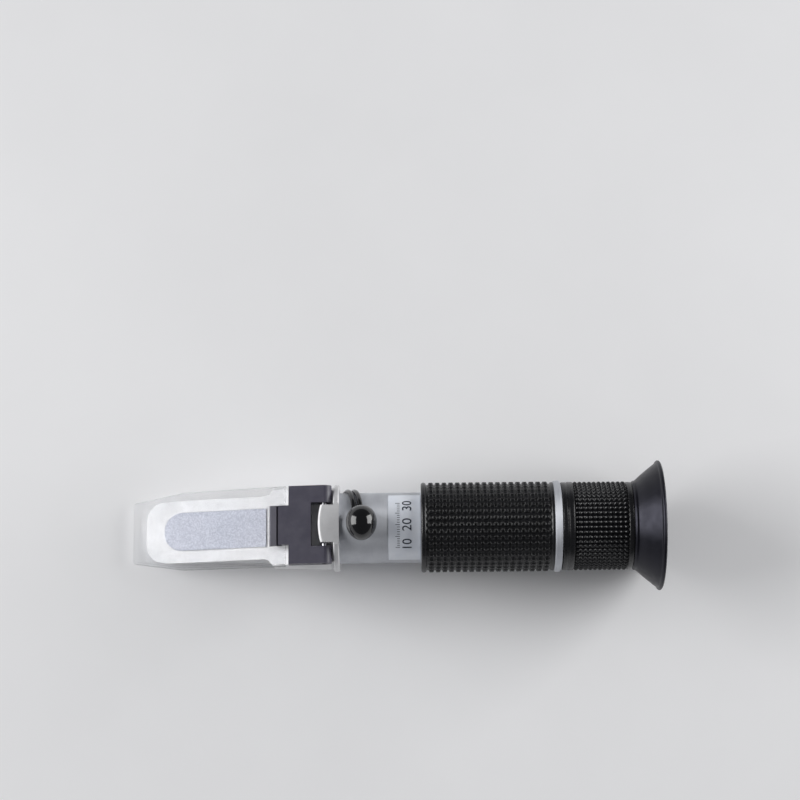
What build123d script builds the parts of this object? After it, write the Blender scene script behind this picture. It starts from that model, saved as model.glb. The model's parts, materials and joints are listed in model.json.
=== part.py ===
from build123d import *
import math
import os

# Hand-held coolant refractometer, millimetres.
#
# The pieces are drawn in the instrument's own frame: X runs along the optical
# axis from the tip of the daylight plate to the rim of the eyecup, Z points out
# of the prism side, Y goes across. A length along X is called a station.
# At the end everything is tipped as one onto the bench, so that the flat under
# the nose and the rim of the eyecup stand on z = 0.

# Stations along the optical axis
NOSE = 4.2
PAD_FRONT = 9.8
PRISM_FRONT = 10.2
PRISM_REAR = 40.5
PAD_REAR = 41.0
LIP_FRONT = 41.9
TONGUE_FRONT = 44.6
RIB_FRONT = 44.8
RIB_REAR = 46.3
PLATE_REAR = 46.7
BRACKET_FRONT = 47.7
NOTCH = 54.3
LUG_FRONT = 56.4
HINGE = 58.2
FLANGE_FRONT = 60.9
FLANGE_REAR = 62.6
SPIGOT_REAR = 66.4
CAP = 69.3
LABEL_FRONT = 77.1
LABEL_REAR = 86.5
GRIP_FRONT = 86.8
GRIP_REAR = 126.15
TUBE_REAR = 127.5
TRIM_REAR = 128.3
FOCUS_FRONT = 128.4
KNURL_FRONT = 132.1
KNURL_REAR = 147.8
FOCUS_REAR = 149.4
RIM_CREST = 157.6
RIM = 158.2

# Radii about the optical axis
NOSE_R = 11.0
HEAD_R = 12.2
FLANGE_R = 12.9
NECK_R = 10.5
NECK_BORE_R = 8.8
TUBE_R = 11.6
TUBE_BORE_R = 10.0
GRIP_R = 13.4
TRIM_R = 13.6
FOCUS_R = 13.2
EYECUP_R = 13.4
RIM_R = 19.4

# Head, prism face and daylight plate
PRISM_SLOPE = 15.5
PRISM_PLANE_Z = 4.0
PRISM_W = 11.0
PRISM_SOLE_FRONT = -8.3
PRISM_SOLE_REAR = -7.5
PRISM_BED_R = 9.8
CEMENT = 0.3
HEAD_W = 18.8
NOSE_CORNER = 6.0
SHOULDER_FRONT = 41.2
SHOULDER_HOLLOW = 2.5
CHIN_L = 1.4
FLANGE_BEVEL = 0.35
TUNNEL_R = 4.4
TUNNEL_Z = -2.4
EXIT_R = 7.2
PLATE_T = 2.6
PLATE_BEVEL = 0.5
PLATE_FRONT_W = 18.2
PLATE_SHOULDER = 15.6
PLATE_SHOULDER_W = 23.3
PLATE_W = 23.8
RIB_H = 0.5
PAD_W = 11.4
PAD_T = 0.25
RIVET_R = 0.45
RIVET_Y = 3.4
RIVET_BACK = 0.6
RIVET_BITE = 0.3

# Hinge bracket and the lug it turns about
BRACKET_SLOPE = 8.0
BRACKET_W = 23.1
NOTCH_W = 13.0
LUG_W = 11.0
LUG_Z = 11.3
LUG_FOOT_Z = 4.4
LUG_BOW = 0.7
TONGUE_W = 11.6
LIP_T = 0.9
GROOVE_L = 0.6
GROOVE_FLOOR = 0.35
HINGE_Z = 8.0
KNUCKLE_R = 2.2
DECK_GAP = 0.4
PIN_R = 0.8

# Calibration screw, its rubber cap and the strap round the neck
BUSH_R = 2.0
BUSH_FOOT = 8.6
BUSH_TOP = 13.4
SCREW_R = 1.2
SCREW_FOOT = 7.95
SCREW_TOP = 12.8
SLOT_W = 0.45
SLOT_DEEP = 0.7
BALL_Z = 13.8
BALL_R = 5.2
BALL_SIDE_R = 4.55
CAP_FOOT_Z = 11.8
STRAP_TILT = 13.2
STRAP_BACK = 3.4
STRAP_W = 3.4
STRAP_R = 11.6
STRAP_EDGE = 0.3
STRAP_PAD_R = 3.5
STRAP_ARC = 126.0
SLIT_W = 0.8
SLIT_START = 24.0
SLIT_ARC = 74.0
STUD_TURN = 112.0
STUD_R = 0.8
LABEL_T = 0.12
LABEL_FAR = 57.0
LABEL_ARC = 128.0

# Objective and its temperature compensation
CELL_FRONT = 67.0
CELL_SEAT = 68.6
CELL_REAR = 72.5
CELL_R = 7.4
CELL_EYE_R = 5.6
OBJECTIVE_R = 6.25
OBJECTIVE_EDGE = 71.0
STRIP_W = 5.0
STRIP_T = 0.6
STRIP_Z = -6.95
STRIP_REAR = 88.0
ANCHOR_FRONT = 84.5
ANCHOR_REAR = 88.5
ANCHOR_R = 6.0
BORE_STEP = 90.0

# Scale glass
STOP_FRONT = 110.0
GLASS_FRONT = 111.5
GLASS_REAR = 113.3
STOP_REAR = 114.0
STOP_R = 7.0
GLASS_R = 8.45

# Eyepiece
GUIDE_FRONT = 116.0
GUIDE_REAR = 143.5
GUIDE_R = 10.6
GUIDE_BORE_R = 9.0
BARREL_FRONT = 118.0
BARREL_REAR = 150.4
BARREL_BORE_R = 8.0
BARREL_LIP = 1.0
SPACER_R = 7.3
FIELD_EDGE = 120.4
EYE_FRONT = 144.6
EYE_EDGE = 146.4
RETAINER_REAR = 149.6
RETAINER_R = 6.6
FOCUS_BORE_REAR = 144.2
SPIGOT_R = 11.4
SPIGOT_L = 2.6
KNURL_DEEP = 0.45
CUP_INNER_R = 11.0

# Bench plane: a line from under the nose to the lowest point of the rim
REST_STATION = 8.0
REST_Z = -10.2
BENCH_RISE = (REST_Z + RIM_R) / (RIM_CREST - REST_STATION)
BENCH_TILT = math.degrees(math.atan(BENCH_RISE))

RUN = 0.05
WIDE = 40.0


def prism_z(x):
    """Height of the prism's measuring face at station x."""
    return PRISM_PLANE_Z + (x - PLATE_REAR) * math.tan(math.radians(PRISM_SLOPE))


def plate_z(x):
    """Height of the daylight plate's top at station x."""
    return prism_z(x) + PLATE_T / math.cos(math.radians(PRISM_SLOPE))


def bench_z(x):
    """Height of the bench plane at station x."""
    return REST_Z - (x - REST_STATION) * BENCH_RISE


def bracket_z(x, offset):
    """Height at station x of a line parallel to the bracket's top, offset from the hinge."""
    slope = math.radians(BRACKET_SLOPE)
    return HINGE_Z + (x - HINGE) * math.tan(slope) + offset / math.cos(slope)


def outline(*points):
    """A closed face in the plane of stations and heights."""
    return Plane.XZ * make_face(Polyline(*points, close=True))


def side_plate(points, width):
    """A side outline of (station, height) points, extruded evenly to both sides."""
    return extrude(outline(*points), amount=width / 2, both=True)


def turned(*points):
    """A solid of revolution about the optical axis, from (station, radius) points."""
    return revolve(outline(*points), Axis.X)


def ring(front, rear, outer, inner):
    """A plain ring about the optical axis."""
    return turned((front, inner), (rear, inner), (rear, outer), (front, outer))


def post(x, low, high, radius):
    """A round post along Z at station x."""
    standing = Cylinder(radius, high - low, align=(Align.CENTER, Align.CENTER, Align.MIN))
    return Pos(x, 0, low) * standing


def cross_rod(x, z, radius, length):
    """A round rod across the instrument."""
    return Pos(x, 0, z) * Rot(90, 0, 0) * Cylinder(radius, length)


def rounded_end(front, rear, width, radius):
    """A column along Z whose plan has a rounded front end and a square rear end."""
    plan = Pos((front + rear) / 2, 0) * Rectangle(rear - front, width)
    plan = fillet(plan.vertices().sort_by(Axis.X)[:2], radius)
    return extrude(plan, amount=WIDE / 2, both=True)


def slab_on_face(low, high, front=-10.0, rear=PLATE_REAR + 20):
    """A wide slab parallel to the prism face, between two distances above it."""
    lift = 1 / math.cos(math.radians(PRISM_SLOPE))
    points = [(front, prism_z(front) + low * lift), (rear, prism_z(rear) + low * lift),
              (rear, prism_z(rear) + high * lift), (front, prism_z(front) + high * lift)]
    return side_plate(points, WIDE)


def lens(front, rear, bulge, radius):
    """A lens with a flat front and a rear domed like a cap of a ball."""
    curve = (radius ** 2 + bulge ** 2) / (2 * bulge)
    half = math.asin(radius / curve) / 2
    crown = rear + bulge
    middle = (crown - curve * (1 - math.cos(half)), curve * math.sin(half))
    dome = ThreePointArc((rear, radius), middle, (crown, 0))
    sides = Polyline((crown, 0), (front, 0), (front, radius), (rear, radius))
    return revolve(Plane.XZ * make_face(dome + sides), Axis.X)


# Head

def light_tunnel(front, rear):
    """The bore through which the prism's light reaches the neck."""
    middle = (front + rear) / 2
    return Pos(middle, 0, TUNNEL_Z) * Rot(0, 90, 0) * Cylinder(TUNNEL_R, rear - front)


def prism_block(grow):
    """The glass wedge, or its pocket when grown: round-nosed plan, sole rounded to the head."""
    front = PRISM_FRONT - grow
    rear = PRISM_REAR + grow
    points = [(front, prism_z(front)), (front, PRISM_SOLE_FRONT - grow),
              (rear, PRISM_SOLE_REAR - grow), (rear, prism_z(rear))]
    plan = rounded_end(front, rear, PRISM_W + 2 * grow, PRISM_W / 2 - 0.4 + grow)
    return side_plate(points, WIDE) & plan & ring(0, WIDE * 2, PRISM_BED_R + grow, 0)


def head_side():
    """Side view that trims the turned head: nose, prism face, deck under the bracket, bench plane."""
    step = BRACKET_FRONT - 0.3
    deck = -KNUCKLE_R - DECK_GAP
    far = WIDE * 2
    heel = NOSE + CHIN_L
    chin_r = CHIN_L / (1 - math.sin(math.radians(BENCH_TILT)))
    chin = bench_z(heel) + chin_r * math.cos(math.radians(BENCH_TILT))
    slack = chin_r * math.sqrt(0.5)
    nose_round = ThreePointArc((NOSE, chin), (NOSE + chin_r - slack, chin - slack), (heel, bench_z(heel)))
    rest = Polyline((heel, bench_z(heel)), (far, bench_z(far)), (far, WIDE), (FLANGE_FRONT, WIDE),
                    (FLANGE_FRONT, bracket_z(HINGE, deck)), (HINGE, bracket_z(HINGE, deck)),
                    (step, bracket_z(step, deck)), (step, prism_z(step)), (NOSE, prism_z(NOSE)), (NOSE, chin))
    return extrude(Plane.XZ * make_face(nose_round + rest), amount=WIDE / 2, both=True)


def head_plan():
    """Plan of the head as a column: rounded nose, straight sides, shoulders out to the flange."""
    bed = HEAD_W / 2
    full = FLANGE_R + 0.5
    shoulder = SHOULDER_FRONT + full - bed
    points = [(NOSE, -bed), (SHOULDER_FRONT, -bed), (shoulder, -full), (WIDE * 2, -full),
              (WIDE * 2, full), (shoulder, full), (SHOULDER_FRONT, bed), (NOSE, bed)]
    plan = make_face(Polyline(*points, close=True))
    corners = plan.vertices().sort_by(Axis.X)
    plan = fillet(corners[:2], NOSE_CORNER)
    hollows = [v for v in plan.vertices() if abs(v.X - SHOULDER_FRONT) < 0.01]
    return extrude(fillet(hollows, SHOULDER_HOLLOW), amount=WIDE / 2, both=True)


def make_prism_housing():
    """Die-cast head: a coned trough cut by the prism face, with the hinge lug and the flange."""
    body = turned((NOSE, 0), (NOSE, NOSE_R), (FLANGE_FRONT - 1.0, HEAD_R), (FLANGE_FRONT, HEAD_R - 0.4),
                  (FLANGE_FRONT, FLANGE_R - FLANGE_BEVEL), (FLANGE_FRONT + FLANGE_BEVEL, FLANGE_R),
                  (FLANGE_REAR - FLANGE_BEVEL, FLANGE_R), (FLANGE_REAR, FLANGE_R - FLANGE_BEVEL),
                  (FLANGE_REAR, NECK_BORE_R), (SPIGOT_REAR, NECK_BORE_R), (SPIGOT_REAR, 0))
    body = body & head_side() & head_plan()

    half = LUG_W / 2
    shoulder = LUG_FRONT + LUG_BOW
    root = FLANGE_FRONT + 0.5
    lug_plan = make_face(ThreePointArc((shoulder, -half), (LUG_FRONT, 0), (shoulder, half))
                         + Polyline((shoulder, half), (root, half), (root, -half), (shoulder, -half)))
    lug = Pos(0, 0, LUG_FOOT_Z) * extrude(lug_plan, amount=LUG_Z - LUG_FOOT_Z)
    lug = fillet(lug.edges().group_by(Axis.Z)[-1].sort_by(Axis.X)[0], 0.8)
    body = body + lug
    body = body - Pos(0, 0, LUG_Z + WIDE / 2) * Box(4 * WIDE, WIDE, WIDE)

    body = body - prism_block(CEMENT) - light_tunnel(PRISM_REAR - 1, FLANGE_FRONT + 1)
    body = body - ring(FLANGE_FRONT, SPIGOT_REAR + 1, EXIT_R, 0)
    return body - cross_rod(HINGE, HINGE_Z, PIN_R, WIDE)


def make_main_prism():
    return prism_block(0)


def make_prism_seal():
    """Cement bed that holds the prism in its pocket, a hair below the measuring face."""
    bed = prism_block(CEMENT) - prism_block(0)
    return bed - slab_on_face(-CEMENT / 2, 3) - light_tunnel(PRISM_REAR - 2, PRISM_REAR + 2)


def make_hinge_pin():
    return cross_rod(HINGE, HINGE_Z, PIN_R, BRACKET_W - 0.6)


# Flap

def plate_column(inset):
    """The plate's plan: square at the hinge, drawn in to a narrower front edge."""
    front = PLATE_FRONT_W / 2 - inset
    shoulder = PLATE_SHOULDER_W / 2 - inset
    rear = PLATE_W / 2 - inset
    points = [(inset, -front), (PLATE_SHOULDER, -shoulder), (PLATE_REAR, -rear), (PLATE_REAR, rear),
              (PLATE_SHOULDER, shoulder), (inset, front)]
    plan = make_face(Polyline(*points, close=True))
    plan = fillet(plan.vertices().sort_by(Axis.X)[:2], 0.8)
    return extrude(plan, amount=WIDE, both=True)


def rivet_shanks():
    """Two rivet shanks square to the plate, through the plate and blind in the tongue."""
    station = PLATE_REAR - RIVET_BACK
    frame = Pos(station, 0, prism_z(station)) * Rot(0, -PRISM_SLOPE, 0)
    shank = Cylinder(RIVET_R, PLATE_T + RIVET_BITE, align=(Align.CENTER, Align.CENTER, Align.MIN))
    foot = PAD_T + RUN + 0.1
    return Part() + [frame * Pos(0, side * RIVET_Y, foot) * shank for side in (1, -1)]


def make_daylight_plate():
    """Clear cover: bevelled top edge, a stiffening rib at the hinge end, two rivet holes."""
    plate = plate_column(0) & slab_on_face(PAD_T + RUN, PLATE_T - PLATE_BEVEL)
    plate = plate + (plate_column(PLATE_BEVEL) & slab_on_face(PAD_T + RUN, PLATE_T))
    rib = slab_on_face(PLATE_T - 0.3, PLATE_T + RIB_H, RIB_FRONT, RIB_REAR)
    for side in (1, -1):
        wing = Box(20, (PLATE_W - TONGUE_W) / 2 - 1.0, WIDE)
        plate = plate + (rib & Pos(PLATE_REAR, side * (PLATE_W + TONGUE_W) / 4, 0) * wing)
    return plate - rivet_shanks()


def make_diffuser_pad():
    """Frosted pad under the plate, just clear of the prism face, round at the front."""
    pad = rounded_end(PAD_FRONT, PAD_REAR, PAD_W, PAD_W / 2 - 0.35)
    return pad & slab_on_face(RUN, PAD_T + RUN)


def make_plate_rivets():
    return rivet_shanks()


def make_hinge_bracket():
    """Dark bracket: grooved tongue over the plate, notch round the lug, two ears on the pin."""
    front = BRACKET_FRONT
    top = KNUCKLE_R
    shell = side_plate([(front, bracket_z(front, -top)), (HINGE, bracket_z(HINGE, -top)),
                        (HINGE, bracket_z(HINGE, top)), (front, bracket_z(front, top))], BRACKET_W)
    shell = shell + cross_rod(HINGE, HINGE_Z, KNUCKLE_R, BRACKET_W)
    root = front + 1
    tongue = side_plate([(TONGUE_FRONT, plate_z(TONGUE_FRONT)), (root, plate_z(root)),
                         (root, bracket_z(root, top)), (TONGUE_FRONT, bracket_z(TONGUE_FRONT, top))],
                        TONGUE_W)
    heel = TONGUE_FRONT + 1
    lip = side_plate([(LIP_FRONT, plate_z(LIP_FRONT)), (heel, plate_z(heel)), (heel, plate_z(heel) + LIP_T),
                      (LIP_FRONT + 0.4, plate_z(LIP_FRONT + 0.4) + LIP_T),
                      (LIP_FRONT, plate_z(LIP_FRONT) + LIP_T / 2)], TONGUE_W + 0.4)
    start = TONGUE_FRONT - GROOVE_L
    groove = side_plate([(start, plate_z(start) + GROOVE_FLOOR),
                         (TONGUE_FRONT, plate_z(TONGUE_FRONT) + GROOVE_FLOOR),
                         (TONGUE_FRONT, plate_z(TONGUE_FRONT) + 5), (start, plate_z(start) + 5)], WIDE)
    bracket = shell + tongue + lip - groove
    bracket = bracket - Pos(NOTCH + 10, 0, HINGE_Z) * Box(20, NOTCH_W, WIDE)
    bracket = bracket - cross_rod(HINGE, HINGE_Z, PIN_R + RUN, WIDE)
    return bracket - rivet_shanks()


# Neck, grip and everything fixed in the tube

def make_main_tube():
    """Turned tube: bare neck in front, thicker and wider bored under the grip."""
    tube = turned((FLANGE_REAR, NECK_BORE_R), (BORE_STEP, NECK_BORE_R), (BORE_STEP + 1.2, TUBE_BORE_R),
                  (TUBE_REAR, TUBE_BORE_R), (TUBE_REAR, TUBE_R), (GRIP_FRONT, TUBE_R), (GRIP_FRONT, NECK_R),
                  (FLANGE_REAR, NECK_R))
    return tube - post(CAP, 0, WIDE, BUSH_R) - stud(0, WIDE)


def make_neck_label():
    """Thin sticker over the top of the neck, set a little towards the near side."""
    strip = outline((LABEL_FRONT, NECK_R), (LABEL_REAR, NECK_R), (LABEL_REAR, NECK_R + LABEL_T),
                    (LABEL_FRONT, NECK_R + LABEL_T))
    return revolve(Rot(-LABEL_FAR, 0, 0) * strip, Axis.X, LABEL_ARC)


def make_rubber_grip():
    """Rubber sleeve with a plain bead at each end."""
    land = GRIP_R - 0.4
    return turned((GRIP_FRONT, TUBE_R), (GRIP_REAR, TUBE_R), (GRIP_REAR, GRIP_R - 0.3),
                  (GRIP_REAR - 0.4, GRIP_R), (GRIP_REAR - 1.4, GRIP_R), (GRIP_REAR - 1.8, land),
                  (GRIP_FRONT + 2.4, land), (GRIP_FRONT + 2.0, GRIP_R), (GRIP_FRONT + 0.5, GRIP_R),
                  (GRIP_FRONT, GRIP_R - 0.5))


def make_trim_ring():
    """Bright ring that closes the tube behind the grip."""
    bore = GUIDE_R + 0.2
    return turned((GRIP_REAR, TUBE_R), (TUBE_REAR, TUBE_R), (TUBE_REAR, bore), (TRIM_REAR, bore),
                  (TRIM_REAR, TRIM_R - 0.5), (TRIM_REAR - 0.5, TRIM_R), (GRIP_REAR + 0.4, TRIM_R),
                  (GRIP_REAR, TRIM_R - 0.4))


def make_screw_bush():
    """Threaded bush of the calibration screw, pressed into the neck."""
    return post(CAP, BUSH_FOOT, BUSH_TOP, BUSH_R) - post(CAP, 0, WIDE, SCREW_R + RUN)


def strap_frame():
    """Frame of the strap, tilted to pass from under the ball down the far side of the neck."""
    return Pos(CAP - STRAP_BACK, 0, 0) * Rot(0, STRAP_TILT, 0)


def stud(low, high):
    """A post of the stud's radius that stands out of the neck at the strap's free end."""
    upright = Cylinder(STUD_R, high - low, align=(Align.CENTER, Align.CENTER, Align.MIN))
    return strap_frame() * Rot(-STUD_TURN, 0, 0) * Pos(0, 0, low) * upright


def make_cap_strap():
    """Rubber strap of two strands, from a washer under the ball to a stud below the neck."""
    half = STRAP_W / 2
    band = outline((-half, 9.4), (half, 9.4), (half, STRAP_R - STRAP_EDGE), (half - STRAP_EDGE, STRAP_R),
                   (STRAP_EDGE - half, STRAP_R), (-half, STRAP_R - STRAP_EDGE))
    edge = SLIT_W / 2
    slit = outline((-edge, 9.0), (edge, 9.0), (edge, 13.0), (-edge, 13.0))
    band = revolve(Rot(-STRAP_ARC, 0, 0) * band, Axis.X, STRAP_ARC)
    band = band - revolve(Rot(-SLIT_START - SLIT_ARC, 0, 0) * slit, Axis.X, SLIT_ARC)
    strap = strap_frame() * band + post(CAP, BUSH_FOOT, STRAP_R, STRAP_PAD_R)
    return strap - ring(0, WIDE * 3, NECK_R, 0) - post(CAP, 0, WIDE, BUSH_R + RUN) - stud(0, WIDE)


def make_strap_stud():
    """Steel stud pressed into the neck wall, flush with the strap."""
    return stud(0, STRAP_R) - ring(0, WIDE * 3, NECK_BORE_R, 0)


def make_strip_anchor():
    """Ring in the neck whose slot steadies the free end of the bimetal strip."""
    slot = Pos((ANCHOR_FRONT + ANCHOR_REAR) / 2, 0, STRIP_Z) * Box(8, STRIP_W + 1, STRIP_T + 1.1)
    return ring(ANCHOR_FRONT, ANCHOR_REAR, NECK_BORE_R, ANCHOR_R) - slot


def make_reticle_ring():
    """Field stop that carries the scale glass."""
    stop = ring(STOP_FRONT, STOP_REAR, TUBE_BORE_R, STOP_R)
    return stop - ring(GLASS_FRONT, STOP_REAR + 1, GLASS_R + RUN, 0)


def make_reticle():
    """Scale glass."""
    return ring(GLASS_FRONT, GLASS_REAR, GLASS_R, 0)


def make_eyepiece_guide():
    """Guide tube of the eyepiece, seated in the main tube; its rear end has the focusing thread."""
    return turned((GUIDE_FRONT, GUIDE_BORE_R), (GUIDE_REAR, GUIDE_BORE_R), (GUIDE_REAR, GUIDE_R),
                  (TRIM_REAR, GUIDE_R), (TRIM_REAR, TUBE_BORE_R), (GUIDE_FRONT, TUBE_BORE_R))


# Calibration

def make_calibration_screw():
    """Slotted grub screw that shifts the objective."""
    screw = post(CAP, SCREW_FOOT, SCREW_TOP, SCREW_R)
    return screw - Pos(CAP, 0, SCREW_TOP) * Box(3 * SCREW_R, SLOT_W, 2 * SLOT_DEEP)


def make_calibration_cap():
    """Moulded rubber ball, a little narrower along the tube, socketed over the bush."""
    ball = Pos(CAP, 0, BALL_Z) * scale(Sphere(BALL_R), by=(BALL_SIDE_R / BALL_R, 1, 1))
    ball = ball - post(CAP, 0, CAP_FOOT_Z, BALL_R + 1)
    return ball - post(CAP, CAP_FOOT_Z - 1, BUSH_TOP + 0.3, BUSH_R + RUN)


def make_objective_cell():
    """Brass cell of the objective, free to shift a little in the neck."""
    cell = ring(CELL_FRONT, CELL_REAR, CELL_R, CELL_EYE_R)
    cell = cell - ring(CELL_SEAT, CELL_REAR + 1, OBJECTIVE_R + RUN, 0)
    return cell - Pos(CELL_REAR, 0, -CELL_R) * Box(3.0, STRIP_W + 0.1, 1.5)


def make_objective_lens():
    """Biconvex glass, seated against the cell's shoulder."""
    rear_half = lens(CELL_SEAT, OBJECTIVE_EDGE, 1.1, OBJECTIVE_R)
    front_half = mirror(lens(CELL_SEAT, CELL_SEAT + 0.1, 0.7, CELL_EYE_R - 0.2), about=Plane.YZ)
    return rear_half + Pos(CELL_SEAT * 2, 0, 0) * front_half


def make_bimetal_strip():
    """Temperature-compensating strip behind the cell."""
    front = CELL_REAR - 1.5
    return Pos((front + STRIP_REAR) / 2, 0, STRIP_Z) * Box(STRIP_REAR - front, STRIP_W, STRIP_T)


# Eyepiece

def make_lens_barrel():
    """Sliding barrel of the eyepiece lenses."""
    seat = BARREL_FRONT + BARREL_LIP
    outer = GUIDE_BORE_R - RUN
    return turned((BARREL_FRONT, BARREL_BORE_R - 0.6), (seat, BARREL_BORE_R - 0.6), (seat, BARREL_BORE_R),
                  (BARREL_REAR, BARREL_BORE_R), (BARREL_REAR, outer), (BARREL_FRONT, outer))


def make_field_lens():
    return lens(BARREL_FRONT + BARREL_LIP, FIELD_EDGE, 1.8, BARREL_BORE_R)


def make_lens_spacer():
    """Tube between the lenses, its front end bevelled to the dome of the field lens."""
    return turned((FIELD_EDGE, BARREL_BORE_R), (FIELD_EDGE + 0.5, SPACER_R), (EYE_FRONT, SPACER_R),
                  (EYE_FRONT, BARREL_BORE_R))


def make_eye_lens():
    return lens(EYE_FRONT, EYE_EDGE, 2.2, BARREL_BORE_R)


def make_lens_retainer():
    """Threaded ring that holds the eye lens, seen inside the cup."""
    return turned((EYE_EDGE + 0.7, RETAINER_R + 0.5), (RETAINER_REAR - 0.4, RETAINER_R),
                  (RETAINER_REAR, RETAINER_R), (RETAINER_REAR, BARREL_BORE_R), (EYE_EDGE, BARREL_BORE_R))


def make_focus_ring():
    """Knurled focusing ring: plain band, recessed knurl, plain band, spigot for the cup."""
    bore = GUIDE_R + RUN
    base = FOCUS_R - KNURL_DEEP
    band = FOCUS_R - 0.2
    end = FOCUS_REAR + SPIGOT_L
    return turned((FOCUS_FRONT, bore), (FOCUS_BORE_REAR, bore), (FOCUS_BORE_REAR + 1.2, GUIDE_BORE_R),
                  (end, GUIDE_BORE_R), (end, SPIGOT_R), (FOCUS_REAR, SPIGOT_R), (FOCUS_REAR, band),
                  (KNURL_REAR + 0.1, band), (KNURL_REAR - 0.1, base), (KNURL_FRONT + 0.1, base),
                  (KNURL_FRONT - 0.2, FOCUS_R), (FOCUS_FRONT + 0.4, FOCUS_R), (FOCUS_FRONT, FOCUS_R - 0.4))


def make_eyecup():
    """Soft funnel: short collar, straight flare, small bead at the rim, thin wall."""
    step = FOCUS_REAR + SPIGOT_L + 0.1
    throat = step + 0.7
    lip = RIM_CREST + 0.1
    collar = FOCUS_REAR + 0.9
    rim_inner = RIM_R - 1.5
    socket = Polyline((FOCUS_REAR, SPIGOT_R), (step, SPIGOT_R), (step, CUP_INNER_R), (throat, CUP_INNER_R))
    inside = Spline((throat, CUP_INNER_R), (throat + 1.1, 13.4), (lip, rim_inner),
                    tangents=[(0.35, 1), (1, 0.85)])
    roll = ThreePointArc((lip, rim_inner), (RIM, RIM_R - 0.6), (RIM_CREST, RIM_R))
    bead = Polyline((RIM_CREST, RIM_R), (RIM_CREST - 0.5, RIM_R - 0.2), (RIM_CREST - 0.8, RIM_R - 0.75))
    outside = Line((RIM_CREST - 0.8, RIM_R - 0.75), (collar + 0.4, EYECUP_R + 0.3))
    front = Polyline((collar + 0.4, EYECUP_R + 0.3), (collar, EYECUP_R), (FOCUS_REAR, EYECUP_R - 0.15),
                     (FOCUS_REAR, SPIGOT_R))
    return revolve(Plane.XZ * make_face(socket + inside + roll + bead + outside + front), Axis.X)


PIECES = {
    "prism_housing": make_prism_housing,
    "main_prism": make_main_prism,
    "prism_seal": make_prism_seal,
    "hinge_pin": make_hinge_pin,
    "daylight_plate": make_daylight_plate,
    "diffuser_pad": make_diffuser_pad,
    "plate_rivets": make_plate_rivets,
    "hinge_bracket": make_hinge_bracket,
    "main_tube": make_main_tube,
    "neck_label": make_neck_label,
    "rubber_grip": make_rubber_grip,
    "trim_ring": make_trim_ring,
    "screw_bush": make_screw_bush,
    "cap_strap": make_cap_strap,
    "strap_stud": make_strap_stud,
    "calibration_screw": make_calibration_screw,
    "calibration_cap": make_calibration_cap,
    "objective_cell": make_objective_cell,
    "objective_lens": make_objective_lens,
    "bimetal_strip": make_bimetal_strip,
    "strip_anchor": make_strip_anchor,
    "reticle_ring": make_reticle_ring,
    "reticle": make_reticle,
    "eyepiece_guide": make_eyepiece_guide,
    "lens_barrel": make_lens_barrel,
    "field_lens": make_field_lens,
    "lens_spacer": make_lens_spacer,
    "eye_lens": make_eye_lens,
    "lens_retainer": make_lens_retainer,
    "focus_ring": make_focus_ring,
    "eyecup": make_eyecup,
}

os.makedirs("parts", exist_ok=True)
tipped = {name: Rot(0, -BENCH_TILT, 0) * make() for name, make in PIECES.items()}
box = Compound(list(tipped.values())).bounding_box()
bench = Pos(-(box.min.X + box.max.X) / 2, 0, -box.min.Z)
for name, piece in tipped.items():
    export_step(bench * piece, f"parts/{name}.step")

frame = bench * Rot(0, -BENCH_TILT, 0)
print("tip of the daylight plate at", frame.position, "axis rises", BENCH_TILT, "degrees")
print("hinge at", (frame * Pos(HINGE, 0, HINGE_Z)).position)
print("calibration axis at", (frame * Pos(CAP, 0, 0)).position)
print("box", box.size)
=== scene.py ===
# %% [markdown]
# A hand-held coolant refractometer, dressed over its imported CAD model. The CAD pieces
# arrive already in place, so this lesson has two jobs: to give each of them the finish
# of the real one, and to replace the few whose surface is richer than a plain solid,
# such as the dimpled rubber grip. The first cell loads the model.

# %% Load the frame
import json

import bmesh
import bpy
import numpy as np
from mathutils import Matrix


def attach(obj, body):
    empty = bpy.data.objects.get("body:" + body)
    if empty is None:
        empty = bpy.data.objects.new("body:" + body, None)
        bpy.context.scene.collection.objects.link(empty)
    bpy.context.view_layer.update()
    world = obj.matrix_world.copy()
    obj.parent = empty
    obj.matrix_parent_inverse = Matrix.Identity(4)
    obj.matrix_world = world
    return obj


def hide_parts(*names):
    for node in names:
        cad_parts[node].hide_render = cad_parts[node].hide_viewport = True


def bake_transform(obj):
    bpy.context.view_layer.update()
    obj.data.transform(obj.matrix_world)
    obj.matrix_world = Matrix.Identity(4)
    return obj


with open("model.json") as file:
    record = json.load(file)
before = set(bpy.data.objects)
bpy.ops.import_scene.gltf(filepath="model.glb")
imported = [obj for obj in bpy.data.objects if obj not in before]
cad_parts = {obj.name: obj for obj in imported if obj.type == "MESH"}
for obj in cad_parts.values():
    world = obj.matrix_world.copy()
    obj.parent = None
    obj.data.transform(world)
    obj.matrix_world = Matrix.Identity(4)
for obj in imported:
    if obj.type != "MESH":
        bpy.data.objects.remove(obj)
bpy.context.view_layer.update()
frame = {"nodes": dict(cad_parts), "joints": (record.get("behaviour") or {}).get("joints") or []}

# %% [markdown]
# The instrument lies tilted: its wedge-shaped nose and the rim of its eyecup touch the
# table, so the optical axis climbs a little. Working in the table's axes would put that
# tilt into every number. The joints already know the instrument's own directions: the
# eyepiece slides along the optical axis and the screw cap pulls off square to it. From
# these two we make a frame of three directions and an origin at the tip of the cover
# plate, and place everything by station, across and height in millimetres.

# %% The instrument's own directions
joints = {joint["name"]: joint for joint in frame["joints"]}
ALONG = np.array(joints["focus_travel"]["axis"], float)
OUT = np.array(joints["cap_pull"]["axis"], float)
ACROSS = np.cross(OUT, ALONG)
FOCUS_PIVOT_STATION = 140.0
ORIGIN = np.array(joints["focus_turn"]["pos_m"], float) - ALONG * FOCUS_PIVOT_STATION / 1000
TILT = float(np.arctan2(ALONG[2], ALONG[0]))


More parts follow.
